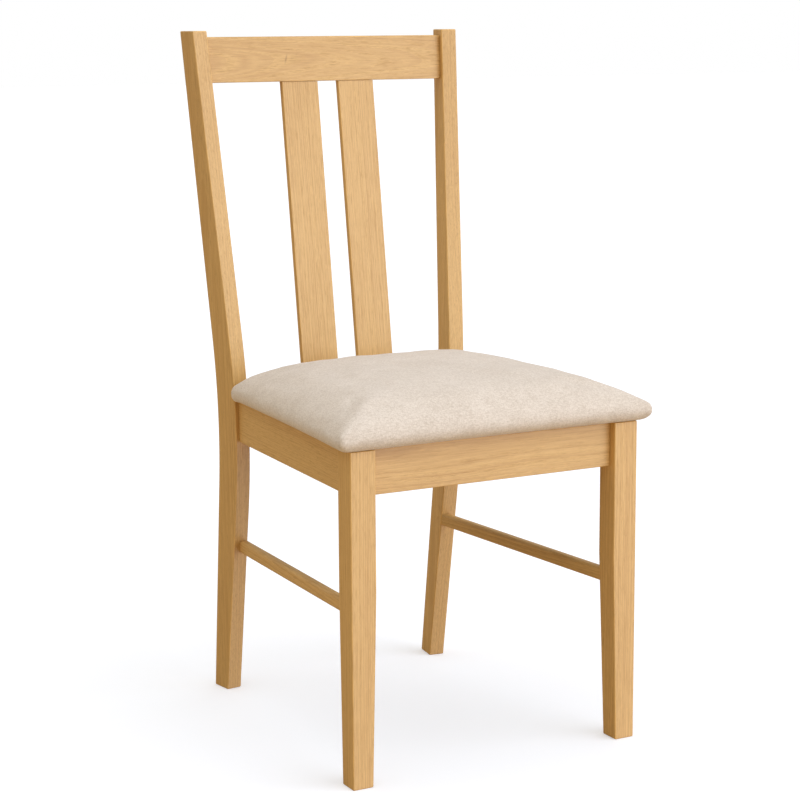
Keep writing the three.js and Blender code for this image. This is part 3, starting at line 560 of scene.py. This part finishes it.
def coordinates(mesh):
    found = np.zeros(len(mesh.vertices) * 3, np.float32)
    mesh.vertices.foreach_get("co", found)
    return found.reshape(-1, 3).astype(float)


def set_coordinates(mesh, points):
    mesh.vertices.foreach_set("co", points.astype(np.float32).ravel())
    mesh.update()


def even_out(pad):
    """Even small faces for the simulation, on the same form."""
    form = bpy.data.objects.new("pad_form", pad.data)
    bpy.context.scene.collection.objects.link(form)
    remesh = pad.modifiers.new("even", "REMESH")
    remesh.mode = "VOXEL"
    remesh.voxel_size = VOXEL
    bake_modifiers(pad)
    smooth = pad.modifiers.new("settle", "SMOOTH")
    smooth.factor = 0.5
    smooth.iterations = SETTLING_PASSES
    wrap = pad.modifiers.new("wrap", "SHRINKWRAP")
    wrap.target = form
    bake_modifiers(pad)
    bpy.data.objects.remove(form)


def swell(pad):
    """Lets the cloth swell a little under pressure, with its edge and underside held."""
    start = coordinates(pad.data)
    held = np.flatnonzero(start[:, 2] < HELD_BELOW)
    group = pad.vertex_groups.new(name="held")
    group.add(held.tolist(), 1.0, "REPLACE")
    cloth = pad.modifiers.new("swell", "CLOTH")
    for key, value in CLOTH.items():
        setattr(cloth.settings, key, value)
    cloth.settings.effector_weights.gravity = 0
    cloth.settings.vertex_group_mass = "held"
    cloth.collision_settings.use_collision = False
    cloth.point_cache.frame_start = 1
    cloth.point_cache.frame_end = SIMULATED_FRAMES
    scene = bpy.context.scene
    for number in range(1, SIMULATED_FRAMES + 1):
        scene.frame_set(number)
    now = bpy.context.evaluated_depsgraph_get()
    shift = coordinates(pad.evaluated_get(now).data) - start
    pad.modifiers.clear()
    pad.vertex_groups.clear()
    scene.frame_set(1)
    length = np.linalg.norm(shift, axis=1, keepdims=True)
    shift *= np.minimum(1, MOST_SWELL / np.maximum(length, TINY))
    set_coordinates(pad.data, start + shift)


def soften_hips(pad):
    """Stretched cloth rounds the ridges that run in from the corners; the edge keeps its line."""
    heights = coordinates(pad.data)[:, 2]
    group = pad.vertex_groups.new(name="top")
    for index in np.flatnonzero(heights > EDGE_HEIGHT + HIP_START).tolist():
        share = min(1.0, (heights[index] - EDGE_HEIGHT - HIP_START) / HIP_START)
        group.add([index], share, "REPLACE")
    smooth = pad.modifiers.new("hips", "SMOOTH")
    smooth.factor = 0.5
    smooth.iterations = HIP_PASSES
    smooth.vertex_group = "top"
    bake_modifiers(pad)
    pad.vertex_groups.clear()


def uneven(pad):
    """Faint hollows and swells of a hand-covered pad, the same each run."""
    points = coordinates(pad.data)
    normals = np.zeros(len(points) * 3, np.float32)
    pad.data.vertices.foreach_get("normal", normals)
    normals = normals.reshape(-1, 3).astype(float)
    random = np.random.default_rng(7)
    depth = np.zeros(len(points))
    for _ in range(WAVES):
        wave = random.normal(size=3)
        wave *= 2 * math.pi / (random.uniform(*WAVE_LENGTHS) * np.linalg.norm(wave))
        depth += np.sin(points @ wave + random.uniform(0, 2 * math.pi))
    above = points[:, 2] - points[:, 2].min()
    free = np.clip((above - FLAT_FOOT) / WAVES_GROW, 0, 1)
    set_coordinates(pad.data, points + normals * (depth * free * WAVE_DEPTH)[:, None])


def fabric():
    """Cream heathered plain weave with slubs, soft mottling and a little sheen."""
    material = new_material("seat_fabric")
    tree = material.node_tree
    places = add(tree, "ShaderNodeTexCoord").outputs["Object"]
    warp = stretched_noise(tree, places, (230, 720, 640), 3.0, 0.7)
    weft = stretched_noise(tree, places, (720, 230, 420), 3.0, 0.7)
    threads = calc(tree, "MULTIPLY", calc(tree, "ADD", warp, weft), 0.5)
    pitches = [2 * math.pi / WEAVE_PITCH] * 3
    cell = vector_calc(tree, "SINE", vector_calc(tree, "MULTIPLY", places, pitches))
    weave = vector_calc(tree, "LENGTH", cell)
    mottle = stretched_noise(tree, places, (60, 60, 60), 3.0, 0.6)
    patches = stretched_noise(tree, places, (13, 13, 13), 2.0, 0.5)
    dark = ranged(tree, stretched_noise(tree, places, (130, 1500, 900), 2.0, 0.5), 0.62, 0.76)
    pale = ranged(tree, stretched_noise(tree, places, (1500, 130, 900), 2.0, 0.5), 0.62, 0.76)
    shade = calc(tree, "MULTIPLY_ADD", threads, 2.0, calc(tree, "MULTIPLY", mottle, 0.3))
    shade = calc(tree, "MULTIPLY_ADD", patches, 0.25, shade)
    color = mixed(tree, ranged(tree, shade, 0.98, 1.58), *YARNS)
    color = mixed(tree, calc(tree, "MULTIPLY", dark, 0.28), color, DARK_SLUB)
    color = mixed(tree, calc(tree, "MULTIPLY", pale, 0.3), color, PALE_SLUB)
    patchy = ranged(tree, patches, 0.4, 0.65)
    roughness = calc(tree, "MULTIPLY_ADD", patchy, -0.06, 0.92)
    height = calc(tree, "MULTIPLY_ADD", weave, 0.25, threads)
    constants = {"Sheen_Weight": 0.35, "Sheen_Roughness": 0.45, "Specular_IOR_Level": 0.25}
    return surface(material, color, roughness, height, 0.0006, **constants)


pad = pad_form()
even_out(pad)
swell(pad)
soften_hips(pad)
uneven(pad)
for polygon in pad.data.polygons:
    polygon.use_smooth = True
pad.data.materials.clear()
pad.data.materials.append(fabric())
finer = pad.modifiers.new("finer", "SUBSURF")
finer.levels = finer.render_levels = 1
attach(pad, "root")
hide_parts("seat_cover", "seat_foam")


# ---------- studio ----------

FLOOR_HALF = 30.0
FLOOR_GLOW = 0.40
FLOOR_COLORS = (0.68, 0.715, 0.765), (0.70, 0.735, 0.785)
FLOOR_BOUNCE = (0.58, 0.43, 0.25, 1.0)  # what the chair sees of it
BACKDROP = {0: (1, 1, 1, 1), 1: 1.0}
FILL_LIGHT = {0: (1.0, 0.94, 0.84, 1), 1: 0.52}
# azimuth, elevation and spread in degrees, strength and colour
OVERHEAD = (-6, 80, 95, 1.12, (1.0, 1.0, 1.04))
KEY = (36, 18, 70, 1.72, (0.97, 1.01, 1.16))
SHEEN = (30, -8, 60, 2.2, (1.0, 1.0, 1.0))
# the photograph's camera: millimetres, degrees, and metres from the left front leg's front
LENS = 95.67
SENSOR = 36.0
HEADING = -28.54
DOWNWARD = 10.03
ROLL = -0.35
CAMERA_X, CAMERA_BEFORE_LEG, CAMERA_Z = -1.38706, 2.28569, 0.95794


def studio_floor():
    """Plain white floor. From below it lets the underside of the chair be seen."""
    material = new_material("studio_floor")
    tree = material.node_tree
    places = add(tree, "ShaderNodeTexCoord").outputs["Object"]
    grain = stretched_noise(tree, places, (40, 40, 40), 3.0, 0.6)
    color = mixed(tree, grain, *FLOOR_COLORS)
    inputs = {"Base Color": color, "Roughness": 0.7, "Specular IOR Level": 0.1}
    inputs |= {"Emission Color": (1, 1, 1, 1), "Emission Strength": FLOOR_GLOW}
    seen = add(tree, "ShaderNodeBsdfPrincipled", inputs).outputs[0]
    bounce = add(tree, "ShaderNodeBsdfDiffuse", {"Color": FLOOR_BOUNCE}).outputs[0]
    direct = add(tree, "ShaderNodeLightPath").outputs["Is Camera Ray"]
    lit = add(tree, "ShaderNodeMixShader", {0: direct, 1: bounce, 2: seen}).outputs[0]
    clear = add(tree, "ShaderNodeBsdfTransparent").outputs[0]
    below = add(tree, "ShaderNodeNewGeometry").outputs["Backfacing"]
    both = add(tree, "ShaderNodeMixShader", {0: below, 1: lit, 2: clear}).outputs[0]
    add(tree, "ShaderNodeOutputMaterial", {0: both})
    mesh = bpy.data.meshes.new("studio_floor")
    corners = [(x * FLOOR_HALF, y * FLOOR_HALF, 0) for x, y in ((-1, -1), (1, -1), (1, 1), (-1, 1))]
    mesh.from_pydata(corners, [], [(0, 1, 2, 3)])
    mesh.materials.append(material)
    floor = bpy.data.objects.new("studio_floor", mesh)
    bpy.context.scene.collection.objects.link(floor)


def soft_light(name, azimuth, elevation, spread, strength, color):
    """A distant soft light; azimuth 0 shines from the front, 90 from the right."""
    lamp = bpy.data.lights.new(name, "SUN")
    lamp.angle = math.radians(spread)
    lamp.energy = strength
    lamp.color = color
    light = bpy.data.objects.new(name, lamp)
    a, e = math.radians(azimuth), math.radians(elevation)
    source = Vector((math.sin(a) * math.cos(e), -math.cos(a) * math.cos(e), math.sin(e)))
    light.rotation_mode = "QUATERNION"
    light.rotation_quaternion = (-source).to_track_quat("-Z", "Y")
    bpy.context.scene.collection.objects.link(light)
    return light


def floor_sheen(blockers):
    """Stands for the pale floor's reflection in the polish, so the floor does not shade it."""
    light = soft_light("sheen", *SHEEN)
    light.visible_diffuse = False
    chair_only = bpy.data.collections.new("chair_only")
    for piece in blockers:
        chair_only.objects.link(piece)
    light.light_linking.blocker_collection = chair_only


def studio_world():
    world = bpy.data.worlds.new("studio")
    world.use_nodes = True
    tree = world.node_tree
    tree.nodes.clear()
    seen = add(tree, "ShaderNodeBackground", BACKDROP).outputs[0]
    fill = add(tree, "ShaderNodeBackground", FILL_LIGHT).outputs[0]
    direct = add(tree, "ShaderNodeLightPath").outputs["Is Camera Ray"]
    both = add(tree, "ShaderNodeMixShader", {0: direct, 1: fill, 2: seen}).outputs[0]
    add(tree, "ShaderNodeOutputWorld", {0: both})
    bpy.context.scene.world = world


def photo_camera():
    """The photograph's viewpoint."""
    lens = bpy.data.cameras.new("photo_camera")
    lens.lens = LENS
    lens.sensor_width = SENSOR
    camera = bpy.data.objects.new("photo_camera", lens)
    leg_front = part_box("front_leg_left")[0].y
    heading = Matrix.Rotation(math.radians(HEADING), 4, "Z")
    tilt = Matrix.Rotation(math.radians(90 - DOWNWARD), 4, "X")
    roll = Matrix.Rotation(math.radians(ROLL), 4, "Z")
    place = Matrix.Translation((CAMERA_X, leg_front - CAMERA_BEFORE_LEG, CAMERA_Z))
    camera.matrix_world = place @ heading @ tilt @ roll
    bpy.context.scene.collection.objects.link(camera)
    bpy.context.scene.camera = camera


studio_floor()
studio_world()
soft_light("overhead", *OVERHEAD)
soft_light("key", *KEY)
floor_sheen([*oak_pieces, pad])
photo_camera()
bpy.context.scene.view_settings.view_transform = "Standard"
